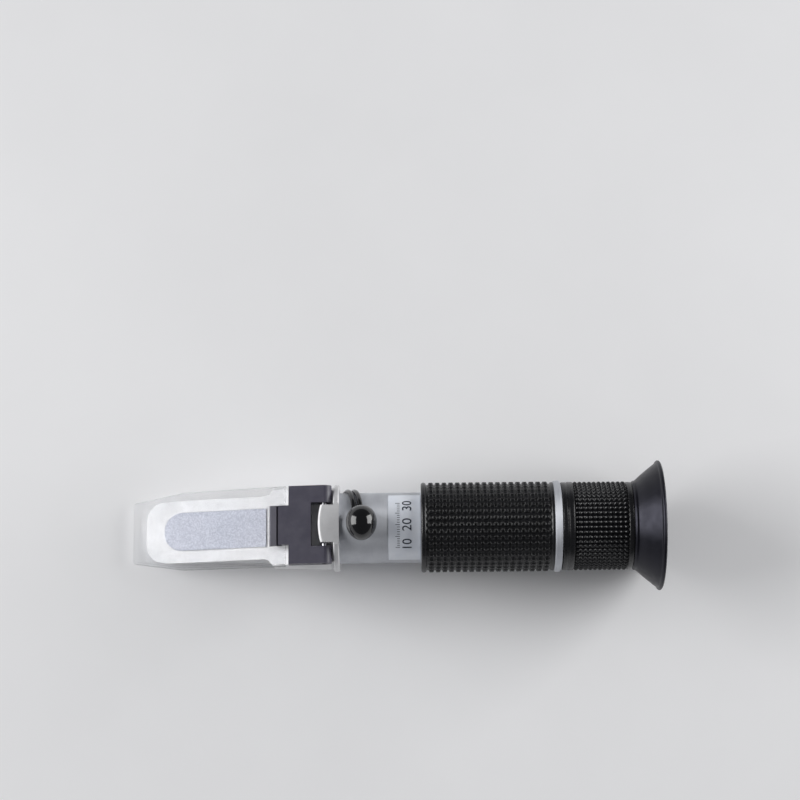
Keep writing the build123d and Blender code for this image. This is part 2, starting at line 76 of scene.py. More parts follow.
def place(points):
    """Millimetre points (station, across, height) become metre points in the frame."""
    points = np.asarray(points, float) / 1000
    return ORIGIN + points[..., 0:1] * ALONG + points[..., 1:2] * ACROSS + points[..., 2:3] * OUT


print("axis climbs", round(float(np.degrees(TILT)), 2), "degrees from", ORIGIN.round(4))

# %% [markdown]
# The camera looks almost straight down from the near side. Its height above the
# instrument, distance and focal length came from matching corners of the plate, the
# bracket, the rings and the eyecup between the photograph and the CAD model. The view
# is square to the optical axis, so its directions are written in the instrument's frame.

# %% Camera
IMAGE = 800
VIEW_HEIGHT = np.radians(78.39)
VIEW_TURN = np.radians(0.24)
VIEW_ROLL = np.radians(-0.61)
VIEW_DISTANCE = 627.8
FOCAL_PIXELS = 2101.4
AIM = np.array([79.0, 0.0, 0.0])
FRAMING = np.array([-1.52, -38.2])
SENSOR = 36.0
NEAR_CLIP, FAR_CLIP = 0.01, 20.0

toward = np.array([0.0, -np.cos(VIEW_HEIGHT), np.sin(VIEW_HEIGHT)])
upward = np.array([0.0, np.sin(VIEW_HEIGHT), np.cos(VIEW_HEIGHT)])
rightward = np.array([1.0, 0.0, 0.0])
toward, rightward = (np.cos(VIEW_TURN) * toward + np.sin(VIEW_TURN) * rightward,
                     np.cos(VIEW_TURN) * rightward - np.sin(VIEW_TURN) * toward)
rightward, upward = (np.cos(VIEW_ROLL) * rightward + np.sin(VIEW_ROLL) * upward,
                     np.cos(VIEW_ROLL) * upward - np.sin(VIEW_ROLL) * rightward)
eye = AIM - FRAMING[0] * rightward - FRAMING[1] * upward + VIEW_DISTANCE * toward
axes = np.stack([ALONG, ACROSS, OUT], 1)

camera = bpy.data.objects.new("camera", bpy.data.cameras.new("camera"))
bpy.context.collection.objects.link(camera)
camera.data.sensor_width = SENSOR
camera.data.lens = FOCAL_PIXELS * SENSOR / IMAGE
camera.data.clip_start = NEAR_CLIP
camera.data.clip_end = FAR_CLIP
pose = np.eye(4)
pose[:3, :3] = axes @ np.stack([rightward, upward, toward], 1)
pose[:3, 3] = place(eye)
camera.matrix_world = Matrix(pose.tolist())
bpy.context.scene.camera = camera
print("camera at", pose[:3, 3].round(3), "lens", round(camera.data.lens, 1))

# %% [markdown]
# Every finish below is a small graph of shader nodes. A few helpers keep the cells short.
# One turns sRGB hex colours, as a screen shows them, into the linear numbers that the
# renderer works in. Another adds a node with its settings and its links at once. The
# others draw what every real surface has: slow blotches, uneven gloss and a fine grain.
# Patterns are written in millimetres: a Mapping node moves the origin to the tip of the
# plate, turns the axes along the tube, and scales metres up to millimetres.

# %% Helpers for materials


def linear(code):
    """sRGB hex to linear: divide by 12.92 near black, else the 2.4 power of the curve."""
    values = np.array([int(code[i:i + 2], 16) / 255 for i in (1, 3, 5)])
    low = values / 12.92
    high = ((values + 0.055) / 1.055) ** 2.4
    return (*np.where(values <= 0.04045, low, high).tolist(), 1.0)


def add(tree, kind, settings=(), **links):
    """Adds a node, sets its properties, and fills its sockets from values or other sockets.
    A socket goes by its name, or by i and its number where names repeat, such as i2."""
    made = tree.nodes.new(kind)
    for name, value in dict(settings).items():
        setattr(made, name, value)
    for name, value in links.items():
        socket = made.inputs[int(name[1:]) if name[1:].isdigit() else name.replace("_", " ")]
        if isinstance(value, bpy.types.NodeSocket):
            tree.links.new(value, socket)
        else:
            socket.default_value = value
    return made


def finish_named(name, **shader):
    """A new material with one Principled shader; its uniform values go on its own sockets."""
    made = bpy.data.materials.new(name)
    made.use_nodes = True
    surface = made.node_tree.nodes["Principled BSDF"]
    for socket, value in shader.items():
        surface.inputs[socket.replace("_", " ")].default_value = value
    return made, made.node_tree, surface


def feed(tree, surface, **outputs):
    """Links node outputs to the shader's sockets of the same names."""
    for name, output in outputs.items():
        tree.links.new(output, surface.inputs[name.replace("_", " ")])


def millimetres(tree, scale=(1.0, 1.0, 1.0)):
    """Object coordinates in the instrument's own axes, in millimetres, times a scale."""
    spot = add(tree, "ShaderNodeTexCoord").outputs["Object"]
    steps = [0.001 / s for s in scale]
    mapping = add(tree, "ShaderNodeMapping", {"vector_type": "TEXTURE"}, Vector=spot,
                  Location=ORIGIN.tolist(), Rotation=(0.0, -TILT, 0.0), Scale=steps)
    return mapping.outputs["Vector"]


def wear(tree, vector, size, dark, light, low=0.35, high=0.65):
    """Slow blotches between two colours, size in millimetres: no real surface is one colour."""
    noise = add(tree, "ShaderNodeTexNoise", Vector=vector, Scale=1 / size, Detail=4.0, Roughness=0.6)
    ramp = add(tree, "ShaderNodeValToRGB", Fac=noise.outputs["Fac"])
    ramp.color_ramp.elements[0].position = low
    ramp.color_ramp.elements[0].color = linear(dark)
    ramp.color_ramp.elements[1].position = high
    ramp.color_ramp.elements[1].color = linear(light)
    return ramp.outputs["Color"]


def remap(tree, value, old_low, old_high, low, high):
    """Maps the range from old_low to old_high onto low to high, clipped at both ends."""
    return add(tree, "ShaderNodeMapRange", i0=value, i1=old_low, i2=old_high, i3=low, i4=high).outputs[0]


def spread(tree, vector, size, low, high):
    """A noise of the given size in millimetres, mapped to a range, for roughness or height.
    Noise seldom leaves 0.3 to 0.7, so those two are stretched to the ends of the range."""
    noise = add(tree, "ShaderNodeTexNoise", Vector=vector, Scale=1 / size, Detail=3.0)
    return remap(tree, noise.outputs["Fac"], 0.3, 0.7, low, high)


def bumps(tree, vector, size, high):
    """A bump of random grain: its size in millimetres, its height in metres."""
    grain = spread(tree, vector, size, 0.0, 1.0)
    return add(tree, "ShaderNodeBump", Height=grain, Distance=high).outputs["Normal"]


def dress(material, *nodes):
    """Puts a material on carried-over CAD nodes, in every slot they have."""
    for name in nodes:
        data = frame["nodes"][name].data
        if not data.materials:
            data.materials.append(material)
        for index in range(len(data.materials)):
            data.materials[index] = material
    print(material.name, "on", ", ".join(nodes))


# %% [markdown]
# The head is die-cast aluminium with a satin chrome skin. Cast and tumbled before plating,
# it has no machining lines; the eye gets a soft, even sheen with a very fine grain. That
# grain is about a tenth of a millimetre, finer than a pixel, and is drawn twice as coarse.

# %% Satin chrome
satin_chrome, tree, surface = finish_named("satin_chrome_casting", Metallic=1.0)
spot = millimetres(tree)
feed(tree, surface, Base_Color=wear(tree, spot, 9.0, "#d9d9da", "#e3e3e4"),
     Roughness=spread(tree, spot, 1.2, 0.66, 0.76), Normal=bumps(tree, spot, 0.22, 0.000008))
dress(satin_chrome, "prism_housing")

# %% [markdown]
# The neck and the ring behind the grip are turned aluminium. A lathe leaves fine rings
# round the tube, and those smear every highlight along it, square to the rings. That is
# why a turned neck shows one long bright band even under lamps that stand at its ends.
# The shader's anisotropy does the same when its tangent points along the optical axis.
# Real feed marks are about 0.1 mm apart, finer than a pixel, so they are drawn 0.35 mm
# apart and very shallow.

# %% Turned aluminium
turned_aluminium, tree, surface = finish_named("turned_aluminium", Metallic=1.0, Anisotropic=0.7)
spot = millimetres(tree)
FEED = 0.35
# A band wave of scale 1 repeats every tenth of pi, so this scale repeats once in each feed
rings = add(tree, "ShaderNodeTexWave", {"wave_type": "BANDS", "bands_direction": "X"}, Vector=spot,
            Scale=np.pi / (10 * FEED), Distortion=0.3, Detail=2.0)
marks = add(tree, "ShaderNodeBump", Height=rings.outputs["Fac"], Distance=0.0000015)
lengthwise = add(tree, "ShaderNodeCombineXYZ", X=ALONG[0], Y=ALONG[1], Z=ALONG[2])
turning = add(tree, "ShaderNodeVectorTransform",
              {"vector_type": "VECTOR", "convert_from": "OBJECT", "convert_to": "WORLD"},
              Vector=lengthwise.outputs[0])
feed(tree, surface, Base_Color=wear(tree, spot, 7.0, "#d8dadf", "#e2e4e8"),
     Roughness=spread(tree, millimetres(tree, (1.0, 0.1, 0.1)), 0.4, 0.76, 0.86),
     Normal=marks.outputs["Normal"], Tangent=turning.outputs[0])
dress(turned_aluminium, "main_tube", "trim_ring")

# %% [markdown]
# The small metal parts: the hinge pin, rivets, stud and grub screw are turned steel, the
# bush, the objective's cell and the field stop are brass, and the compensating strip is
# rolled bimetal. Most are hidden until something is opened, but they keep their metal.

# %% Steel, brass, bimetal
steel, tree, surface = finish_named("turned_steel", Metallic=1.0)
spot = millimetres(tree)
feed(tree, surface, Base_Color=wear(tree, spot, 1.5, "#b4b4b8", "#c6c6ca"),
     Roughness=spread(tree, spot, 0.3, 0.22, 0.36))
dress(steel, "hinge_pin", "plate_rivets", "calibration_screw", "strap_stud")

brass, tree, surface = finish_named("turned_brass", Metallic=1.0)
spot = millimetres(tree)
feed(tree, surface, Base_Color=wear(tree, spot, 2.0, "#b08c4e", "#c9a562"),
     Roughness=spread(tree, spot, 0.4, 0.24, 0.4))
dress(brass, "screw_bush", "objective_cell", "reticle_ring")

bimetal, tree, surface = finish_named("rolled_bimetal", Metallic=1.0, Roughness=0.38)
rolled = millimetres(tree, (0.1, 2.0, 2.0))
feed(tree, surface, Base_Color=wear(tree, rolled, 0.5, "#a39a8c", "#beb6a8"))
dress(bimetal, "bimetal_strip")

# %% [markdown]
# Inside the tube everything is black anodised aluminium, matt so that stray light dies.
# The anodising keeps a trace of the turned surface under it, a slightly uneven sheen.

# %% Black anodised aluminium
anodised, tree, surface = finish_named("black_anodised_aluminium", Metallic=0.6)
spot = millimetres(tree)
feed(tree, surface, Base_Color=wear(tree, spot, 3.0, "#191a1c", "#232427"),
     Roughness=spread(tree, spot, 0.5, 0.38, 0.55))
dress(anodised, "strip_anchor", "eyepiece_guide", "lens_barrel", "lens_spacer", "lens_retainer")

# %% [markdown]
# The lenses and the wedge prism are optical crown glass, index 1.52, in pale cement. A
# renderer treats light that bends through glass as an indirect path, so whatever lies
# under clear glass would go dark and speckled. So for shadow rays alone the shader is
# swapped for a plain transparent one, whose tint is the share of light that gets through.

# %% Glass and cement


def let_lamps_through(tree, surface, tint):
    """Mixes the shader with a transparent one wherever a shadow ray asks."""
    path = add(tree, "ShaderNodeLightPath")
    clear = add(tree, "ShaderNodeBsdfTransparent", Color=linear(tint))
    either = add(tree, "ShaderNodeMixShader", i0=path.outputs["Is Shadow Ray"],
                 i1=surface.outputs[0], i2=clear.outputs[0])
    tree.links.new(either.outputs[0], tree.nodes["Material Output"].inputs["Surface"])


crown_glass, tree, surface = finish_named("polished_crown_glass", Transmission_Weight=1.0, IOR=1.52)
spot = millimetres(tree)
feed(tree, surface, Base_Color=wear(tree, spot, 6.0, "#f1f6f7", "#f8fbfb"),
     Roughness=spread(tree, spot, 2.0, 0.0, 0.02))
let_lamps_through(tree, surface, "#eef4f5")
dress(crown_glass, "reticle", "objective_lens", "field_lens", "eye_lens", "main_prism")

cement, tree, surface = finish_named("potting_cement", Roughness=0.7)
spot = millimetres(tree)
feed(tree, surface, Base_Color=wear(tree, spot, 0.8, "#d8d8da", "#e8e8ea"),
     Normal=bumps(tree, spot, 0.3, 0.00002))
dress(cement, "prism_seal")

# %% [markdown]
# The daylight plate is clear acrylic, moulded and polished, with an index of 1.49.
# Handling leaves hairline scratches, drawn as a shallow noise stretched along the plate.
# The lamps stand low here, and light at such a slant is partly thrown back by the plate's
# faces, so its shadow tint is darker than that of the lenses. The pad beneath is the same
# acrylic frosted, a grey speckle with a grain of half a millimetre. Its top and the
# plate's underside lie in one plane, and a renderer can't tell which of two such faces is
# in front, so a modifier shrinks the pad by a hair.

# %% Clear and frosted acrylic
clear_acrylic, tree, surface = finish_named("clear_cast_acrylic", Transmission_Weight=1.0, IOR=1.49)
spot = millimetres(tree)
feed(tree, surface, Base_Color=wear(tree, spot, 12.0, "#f4f5f6", "#fbfbfb"),
     Normal=bumps(tree, millimetres(tree, (0.08, 3.0, 1.0)), 0.7, 0.000002),
     Roughness=spread(tree, millimetres(tree, (0.2, 2.0, 2.0)), 0.8, 0.0, 0.05))
let_lamps_through(tree, surface, "#dfdfe0")
dress(clear_acrylic, "daylight_plate")

frosted, tree, surface = finish_named("frosted_acrylic", Roughness=0.6)
spot = millimetres(tree)
cloud = wear(tree, spot, 3.0, "#b0b3c1", "#bcbfcc")
SPECK = 0.5
specks = add(tree, "ShaderNodeTexNoise", Vector=spot, Scale=1 / SPECK, Detail=2.0, Roughness=0.7)
amount = remap(tree, specks.outputs["Fac"], 0.38, 0.66, 0.0, 1.0)
mixed = add(tree, "ShaderNodeMix", {"data_type": "RGBA"}, i0=amount, i6=cloud, i7=linear("#d6d9e3"))
pits = add(tree, "ShaderNodeBump", Height=specks.outputs["Fac"], Distance=0.00002)
feed(tree, surface, Base_Color=mixed.outputs[2], Normal=pits.outputs["Normal"])
dress(frosted, "diffuser_pad")
HAIR = 0.00002
shrink = frame["nodes"]["diffuser_pad"].modifiers.new("hair", "DISPLACE")
shrink.mid_level = 0.0
shrink.strength = -HAIR

# %% [markdown]
# The hinge bracket is sheet metal under a dark grey satin paint, with a trace of violet.
# Sprayed satin paint has an orange-peel of about half a millimetre, which breaks up the
# reflections only a little, and it rubs slightly paler where fingers push.

# %% Satin paint
satin_paint, tree, surface = finish_named("satin_grey_paint")
spot = millimetres(tree)
feed(tree, surface, Base_Color=wear(tree, spot, 5.0, "#454350", "#4f4d59"),
     Normal=bumps(tree, spot, 0.5, 0.000006), Roughness=spread(tree, spot, 1.5, 0.36, 0.5))
dress(satin_paint, "hinge_bracket")

# %% [markdown]
# The sticker on the neck is a pale silver-blue polyester film. Its print comes later, as
# thin dark shapes laid on it. The film itself is smooth, with a weak satin reflection.

# %% Label film
label_film, tree, surface = finish_named("silver_polyester_film", Metallic=0.05)
spot = millimetres(tree)
feed(tree, surface, Base_Color=wear(tree, spot, 4.0, "#e4e9f2", "#ebeff6"),
     Roughness=spread(tree, spot, 0.6, 0.28, 0.38))
dress(label_film, "neck_label")

# %% [markdown]
# Four black materials differ only in their surface. The grip is moulded rubber with a
# slight gloss, which lights up the edges of its bumps. The focusing ring is black ABS with
# a fine spark texture, as glossy. The eyecup is smoother but duller rubber that throws
# light back weakly; the blue cast of its reflections is a painted reflection. The screw cap
# and its strap are the shiniest, because rubber taken from a polished mould shines like lacquer.

# %% Black rubbers and plastic
grip_rubber, tree, surface = finish_named("moulded_grip_rubber")
spot = millimetres(tree)
feed(tree, surface, Base_Color=wear(tree, spot, 6.0, "#0c0c0e", "#141417"),
     Normal=bumps(tree, spot, 0.15, 0.000002), Roughness=spread(tree, spot, 0.7, 0.24, 0.36))

ring_plastic, tree, surface = finish_named("spark_textured_abs")
spot = millimetres(tree)
feed(tree, surface, Base_Color=wear(tree, spot, 4.0, "#0d0d10", "#151518"),
     Normal=bumps(tree, spot, 0.2, 0.000003), Roughness=spread(tree, spot, 0.6, 0.22, 0.34))

# The blue specular tint is a painted reflection: it gives the eyecup's highlights a blue cast.
cup_rubber, tree, surface = finish_named("matt_eyecup_rubber", Specular_IOR_Level=0.3,
                                         Specular_Tint=linear("#dcdcf4"))
spot = millimetres(tree)
feed(tree, surface, Base_Color=wear(tree, spot, 8.0, "#09090d", "#0f0f14"),
     Normal=bumps(tree, spot, 0.3, 0.000004), Roughness=spread(tree, spot, 2.0, 0.3, 0.42))

cap_rubber, tree, surface = finish_named("polished_mould_rubber", Coat_Weight=0.3, Coat_Roughness=0.05)
spot = millimetres(tree)
feed(tree, surface, Base_Color=wear(tree, spot, 3.0, "#08080a", "#0e0e10"),
     Roughness=spread(tree, spot, 1.0, 0.08, 0.16))
print("black materials ready")

# %% [markdown]
# New pieces are surfaces on a grid. Each has rows and columns of points worked out as
# whole arrays, and one helper makes the faces between neighbours. A piece turned about
# an axis closes on itself across the columns. Along the rows it either closes too, as a
# ring does, or ends in a row shrunk to one point, which is then merged into a pole.

# %% Mesh helper


def make_piece(name, grids, material, body):
    """One mesh from pairs: an array of millimetre points by row and column, and whether its
    rows close on themselves too; its columns always do. Then it is finished as below."""
    corners, quads, first = [], [], 0
    for points, rows_wrap in grids:
        rows, columns = points.shape[:2]
        bands = rows if rows_wrap else rows - 1
        i, j = np.meshgrid(np.arange(bands), np.arange(columns), indexing="ij")
        below, beside = (i + 1) % rows, (j + 1) % columns
        faces = [i * columns + j, below * columns + j, below * columns + beside, i * columns + beside]
        quads.append(first + np.stack(faces, -1).reshape(-1, 4))
        corners.append(place(points).reshape(-1, 3))
        first += rows * columns
    mesh = bpy.data.meshes.new(name)
    mesh.from_pydata(np.concatenate(corners).tolist(), [], np.concatenate(quads).tolist())
    shell = bmesh.new()
    shell.from_mesh(mesh)
    bmesh.ops.remove_doubles(shell, verts=shell.verts, dist=1e-7)
    bmesh.ops.recalc_face_normals(shell, faces=shell.faces)
    shell.to_mesh(mesh)
    shell.free()
    return finish_piece(name, mesh, material, body)


def finish_piece(name, mesh, material, body):
    """Links a mesh as a smooth piece with its material and its body. A piece
    given no body is left unattached."""
    mesh.materials.append(material)
    mesh.polygons.foreach_set("use_smooth", np.ones(len(mesh.polygons), bool))
    piece = bpy.data.objects.new(name, mesh)
    bpy.context.collection.objects.link(piece)
    if body:
        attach(piece, body)
    print(name, len(mesh.polygons), "faces")
    return piece


def around(station, radius, turns):
    """Circles round the optical axis: across is r sin t and height is r cos t, t from the top."""
    return np.stack([station + 0 * radius, radius * np.sin(turns), radius * np.cos(turns)], -1)


def sleeve(front, along, field, rear, turns):
    """A closed sleeve: plain circles through the (station, radius) pairs of front, then a
    field of radii by station and turn, then plain circles through the pairs of rear."""
    plain = np.ones_like(turns)
    station = np.concatenate([[s for s, _ in front], along, [s for s, _ in rear]])[:, None]
    radius = np.concatenate([[r * plain for _, r in front], field, [r * plain for _, r in rear]])
    return around(station, radius, turns * 2 * np.pi)


# %% [markdown]
# The rubber grip is a sleeve with rows of square bumps, 2 mm apart both ways. The top of
# each is dished to half its height, so that it catches the light as a small ring.
# Modelling each bump by hand would be slow and a bump map would leave the outline smooth,
# so the sleeve is one height field on a cylinder. Points stand closest where a bump
# rises, and the same eleven steps repeat in every cell.

# %% Rubber grip
GRIP_FRONT, GRIP_REAR, SLEEVE_BORE = 86.8, 126.15, 11.6
GRIP_FLOOR, BUMP_HIGH, BUMP_HOLLOW = 12.75, 0.66, 0.36
BUMP_PITCH, BUMP_ROWS, BUMP_COLUMNS, COLLAR = 2.0, 40, 18, 1.95
CELL = np.array([0.0, 0.12, 0.18, 0.24, 0.32, 0.43, 0.57, 0.68, 0.76, 0.82, 0.88])


def bump_field(u, v, half=0.345, soft=0.13, blunt=0.03, slope=1.34):
    """Shares of the wall and of the dish, where u and v run 0 to 1 over one cell. The
    distance from its middle is the fourth root of the sum of fourth powers, a rounded
    square, and is 1 at the half width of a bump. The wall falls over the soft share of
    the cell there, along a smooth step. The dish is a cone, one minus the slope times the
    distance. Its point is blunted: the distance is first replaced by the root of its
    square and a little, less 0.17, which is what that root comes to in the middle."""
    distance = ((np.abs(u - 0.5) / half) ** 4 + (np.abs(v - 0.5) / half) ** 4) ** 0.25
    wall = np.clip((1 - distance) * half / soft + 0.5, 0, 1)
    wall = wall * wall * (3 - 2 * wall)
    dish = np.clip(1 - (np.sqrt(distance ** 2 + blunt) - 0.17) * slope, 0, 1)
    return wall, dish


bumps_front = GRIP_FRONT + COLLAR
bumps_rear = bumps_front + BUMP_COLUMNS * BUMP_PITCH
along = (np.arange(BUMP_COLUMNS)[:, None] + CELL[None, :]).ravel() * BUMP_PITCH + bumps_front
turns = (np.arange(BUMP_ROWS)[:, None] + CELL[None, :]).ravel() / BUMP_ROWS
wall, dish = bump_field(((along - bumps_front) / BUMP_PITCH % 1)[:, None], (turns * BUMP_ROWS % 1)[None, :])
bumpy = GRIP_FLOOR + BUMP_HIGH * wall - BUMP_HOLLOW * dish
front = [(GRIP_FRONT, SLEEVE_BORE), (GRIP_FRONT, 12.9), (GRIP_FRONT + 0.15, 13.2), (GRIP_FRONT + 0.5, 13.38),
         (GRIP_FRONT + 1.1, 13.38), (GRIP_FRONT + 1.4, 13.15), (GRIP_FRONT + 1.6, GRIP_FLOOR)]
rear = [(bumps_rear, GRIP_FLOOR), (GRIP_REAR - 1.0, GRIP_FLOOR), (GRIP_REAR - 0.85, 13.1),
        (GRIP_REAR - 0.2, 13.2), (GRIP_REAR, 12.95), (GRIP_REAR, SLEEVE_BORE)]
grip = make_piece("grip_sleeve", [(sleeve(front, along, bumpy, rear, turns), True)], grip_rubber,
                  "barrel")
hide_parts("rubber_grip")

# %% [markdown]
# The focusing ring carries a finer knurl: grooves along the tube cut by others round it,
# 1.4 mm apart, which leaves rows of small blunt points. It is again a height field: a
# ridge wave round the ring, and on the ridges a second wave along it. A cut knurl has flat
# facets with crisp edges between them, so its faces aren't shaded smooth.

# %% Focusing ring
FOCUS_FRONT, KNURL_FRONT, KNURL_REAR, FOCUS_REAR = 128.4, 132.1, 147.8, 149.4
KNURL_ROWS, KNURL_COLUMNS = 55, 11
KNURL_FLOOR, RIDGE_HIGH, POINT_HIGH, BLUNT = 12.4, 0.38, 0.42, 0.75
POINT_CELL = np.array([0.0, 0.16, 0.34, 0.5, 0.66, 0.84])


def ridge(u, blunt):
    """A ridge over 0 to 1: a triangle wave with its top cut flat at the blunt share."""
    return np.clip((1 - np.abs(2 * u - 1)) / blunt, 0, 1)


turns = (np.arange(KNURL_ROWS)[:, None] + POINT_CELL[None, :]).ravel() / KNURL_ROWS
pitch = (KNURL_REAR - KNURL_FRONT) / KNURL_COLUMNS
along = (np.arange(KNURL_COLUMNS)[:, None] + POINT_CELL[None, :]).ravel() * pitch + KNURL_FRONT
rows_wave = ridge(turns * KNURL_ROWS % 1, BLUNT)[None, :]
columns_wave = ridge((along - KNURL_FRONT) / pitch % 1, BLUNT)[:, None]
knurl = KNURL_FLOOR + RIDGE_HIGH * rows_wave + POINT_HIGH * rows_wave * columns_wave
front = [(FOCUS_FRONT, 10.65), (FOCUS_FRONT, 12.75), (FOCUS_FRONT + 0.35, 13.1), (FOCUS_FRONT + 1.5, 13.1),
         (FOCUS_FRONT + 1.7, 12.9), (FOCUS_FRONT + 1.9, 13.15), (KNURL_FRONT - 0.35, 13.2),
         (KNURL_FRONT - 0.1, 12.95), (KNURL_FRONT - 0.05, 12.5)]
rear = [(KNURL_REAR, 12.5), (KNURL_REAR + 0.1, 12.9), (KNURL_REAR + 0.25, 13.0), (FOCUS_REAR - 0.2, 13.0),
        (FOCUS_REAR, 12.85), (FOCUS_REAR, 11.4), (FOCUS_REAR + 2.6, 11.4), (FOCUS_REAR + 2.6, 9.0),
        (145.4, 9.0), (144.2, 10.65)]
focus = make_piece("knurled_focus_ring", [(sleeve(front, along, knurl, rear, turns), True)], ring_plastic,
                   "focus")
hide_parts("focus_ring")
stations = np.array([(np.array(face.center) - ORIGIN) @ ALONG for face in focus.data.polygons]) * 1000
focus.data.polygons.foreach_set("use_smooth", (stations < KNURL_FRONT - 0.05) | (stations > KNURL_REAR))

# %% [markdown]
# The eyecup is a thin funnel of soft rubber: a rounded collar with a small groove in front
# of the flare, a nearly straight flare, and a rounded rim. It is a profile of points
# turned about the axis, made fine with a smooth curve through them, because flat facets
# would show in its long highlight.

# %% Eyecup
CUP_TURNS = 160
cup_outline = np.array([
    (149.4, 11.4), (149.4, 12.6), (149.45, 12.8), (149.75, 13.05), (150.1, 13.3), (150.5, 13.36),
    (150.9, 13.62), (152.6, 15.15), (154.2, 16.45), (155.8, 17.75), (156.75, 18.5), (157.05, 19.0),
    (157.5, 19.36), (157.9, 19.25), (158.15, 18.85), (158.05, 18.4), (157.7, 17.95), (156.7, 16.85),
    (155.3, 15.3), (154.1, 13.8), (153.3, 12.4), (152.95, 11.5), (152.8, 11.0), (152.1, 11.0),
    (152.1, 11.4)])


def rounded(outline, parts=6):
    """Catmull-Rom curve through a closed outline: each stretch blends its four nearest points."""
    p0, p1 = np.roll(outline, 1, 0)[:, None], outline[:, None]
    p2, p3 = np.roll(outline, -1, 0)[:, None], np.roll(outline, -2, 0)[:, None]
    t = (np.arange(parts) / parts)[None, :, None]
    curve = p1 + 0.5 * t * (p2 - p0 + t * (2 * p0 - 5 * p1 + 4 * p2 - p3 + t * (3 * (p1 - p2) + p3 - p0)))
    return curve.reshape(-1, 2)


cup_profile = rounded(cup_outline)
turns = np.arange(CUP_TURNS) / CUP_TURNS * 2 * np.pi
cup_points = around(cup_profile[:, :1], cup_profile[:, 1:] * np.ones_like(turns), turns)
cup = make_piece("flared_eyecup", [(cup_points, True)], cup_rubber, "focus")
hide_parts("eyecup")

# %% [markdown]
# A rubber ball covers the calibration screw. It is not quite round: seen from above it
# is narrower along the tube, and its near side is drawn out a little like the end of an
# egg. So its half-width across differs between the near and the far half, and both
# halves meet at the widest place with the same direction, which keeps the skin smooth.
# The whole skin also sits 0.3 mm to the near side. It ends in a flat foot with a socket,
# which fits over the screw's bush.

# %% Screw cap
CAP, BALL_Z, BALL_R, BALL_SIDE_R, BALL_SHIFT, BALL_NEAR = 69.3, 13.8, 5.2, 4.55, 0.3, 0.3
CAP_FOOT_Z, CAP_FOOT_R, SOCKET_R, SOCKET_TOP = 11.8, 3.6, 2.1, 13.7
CAP_ROWS, CAP_TURNS = 40, 64
foot_turn = np.arccos((CAP_FOOT_Z - BALL_Z) / BALL_R)
fall = np.linspace(foot_turn, 0, CAP_ROWS)[:, None]
turns = np.arange(CAP_TURNS)[None, :] / CAP_TURNS * 2 * np.pi
half_across = BALL_R - BALL_SHIFT * np.sin(turns)
skin = np.stack([CAP + BALL_SIDE_R * np.sin(fall) * np.cos(turns),
                 BALL_SHIFT * np.sin(fall) + half_across * np.sin(fall) * np.sin(turns) - BALL_NEAR,
                 BALL_Z + BALL_R * np.cos(fall) + 0 * turns], -1)
inner = np.array([(0.0, SOCKET_TOP), (SOCKET_R, SOCKET_TOP), (SOCKET_R, CAP_FOOT_Z + 0.1),
                  (SOCKET_R + 0.2, CAP_FOOT_Z - 0.02), (CAP_FOOT_R, CAP_FOOT_Z - 0.02)])
socket = np.stack([CAP + inner[:, :1] * np.cos(turns), inner[:, :1] * np.sin(turns),
                   inner[:, 1:] + 0 * turns], -1)
ball = make_piece("cap_ball", [(np.concatenate([socket, skin]), False)], cap_rubber, "cap")
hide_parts("calibration_cap")

# %% [markdown]
# A strap of the same rubber keeps the cap from getting lost. It starts as a washer under
# the ball, runs down the far side of the neck as two strands with a gap between them,
# and ends in a tab on a small steel stud. It leans forward, so its station grows with
# the height of the point. When the cap is pulled the washer goes with it and the strands
# stretch, so this piece is given no body of its own here.

# %% Cap strap
NECK_R, STRAP_BACK, STRAP_TILT, STRAP_R = 10.5, 3.4, np.radians(13.2), 11.6
STRAND_ASIDE, STRAND_HALF, STRAND_FORWARD, TAB_HALF = 0.95, 0.76, 0.3, 1.7
STRAND_ARC, TAB_ARC = (4, 106), (94, 126)
SINK = 0.05
middle_r, half_thick = (NECK_R + STRAP_R) / 2 - SINK, (STRAP_R - NECK_R) / 2 + SINK


def strap_body(arc, aside, half_wide, swell, ends, rows=49, columns=16):
    """A bar that hugs the neck over an arc in degrees, with an ellipse for its section. Its
    taper is one minus the distance from the middle to the power of ends, and of that the
    root that swell gives, so that the width falls to nothing at both ends; the thickness
    goes with the square root of the taper. The higher ends is, the later it begins."""
    share = np.sin(np.linspace(-1, 1, rows) * np.pi / 2)[:, None]
    turn = np.radians(arc[0] + (arc[1] - arc[0]) * (share + 1) / 2)
    taper = (1 - np.abs(share) ** ends) ** (1 / swell)
    section = np.arange(columns)[None, :] / columns * 2 * np.pi
    wide = half_wide * taper * np.cos(section)
    thick = half_thick * taper ** 0.5 * np.sin(section)
    lean = CAP - STRAP_BACK + STRAP_R * np.cos(turn) * np.sin(STRAP_TILT)
    return around(lean + aside + wide, middle_r + thick, turn)


# Rows of the washer: its radius, and its height, or 0 for the two that lie on the neck
WASHER_TURNS = 48
turns = np.arange(WASHER_TURNS)[None, :] / WASHER_TURNS * 2 * np.pi
washer_r = np.array([2.1, 3.2, 3.45, 3.5, 3.5, 2.1])[:, None]
washer_top = np.array([11.6, 11.6, 11.5, 11.3, 0.0, 0.0])[:, None]
washer_across = washer_r * np.sin(turns)
on_neck = np.sqrt(NECK_R ** 2 - washer_across ** 2) - 2 * SINK
washer = np.stack([CAP + washer_r * np.cos(turns), washer_across,
                   np.where(washer_top > 0, washer_top, on_neck)], -1)
strap = make_piece("strap_strands", [
    (strap_body(STRAND_ARC, -STRAND_ASIDE - STRAND_FORWARD, STRAND_HALF, 2.0, 60), False),
    (strap_body(STRAND_ARC, STRAND_ASIDE - STRAND_FORWARD, STRAND_HALF, 2.0, 60), False),
    (strap_body(TAB_ARC, 0.0, TAB_HALF, 3.0, 4), False),
    (washer, True)], cap_rubber, None)
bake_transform(strap)
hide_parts("cap_strap")

